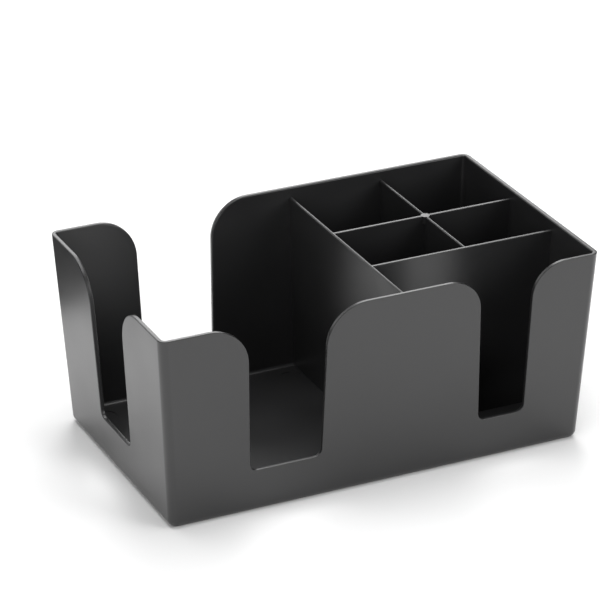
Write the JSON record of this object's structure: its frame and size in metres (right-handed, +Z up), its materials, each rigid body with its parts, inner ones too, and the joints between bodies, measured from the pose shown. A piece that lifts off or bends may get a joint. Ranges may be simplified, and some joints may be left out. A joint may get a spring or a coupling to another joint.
{
  "type": "coffee station organizer",
  "caption": "Open-topped countertop caddy with leaning walls, a slotted napkin bay, a long stirrer bay and small bays for sachets behind crossing dividers.",
  "frame": {"origin": "middle of the footprint, on the surface that the caddy stands on", "axes": "+X along the long side, from the napkin bay to the small bays; -Y is the front, where the stirrer slot is; +Z up"},
  "size_m": [0.24, 0.145, 0.106],
  "materials": {
    "textured_black": "fine moulded texture outside, satin",
    "smooth_black": "smooth moulded, semi-gloss"
  },
  "bodies": {
    "root": {"caddy_shell": "textured_black", "napkin_partition": "smooth_black", "long_divider": "smooth_black", "middle_divider": "smooth_black", "short_divider": "smooth_black", "crossing_boss": "smooth_black"}
  },
  "joints": []
}
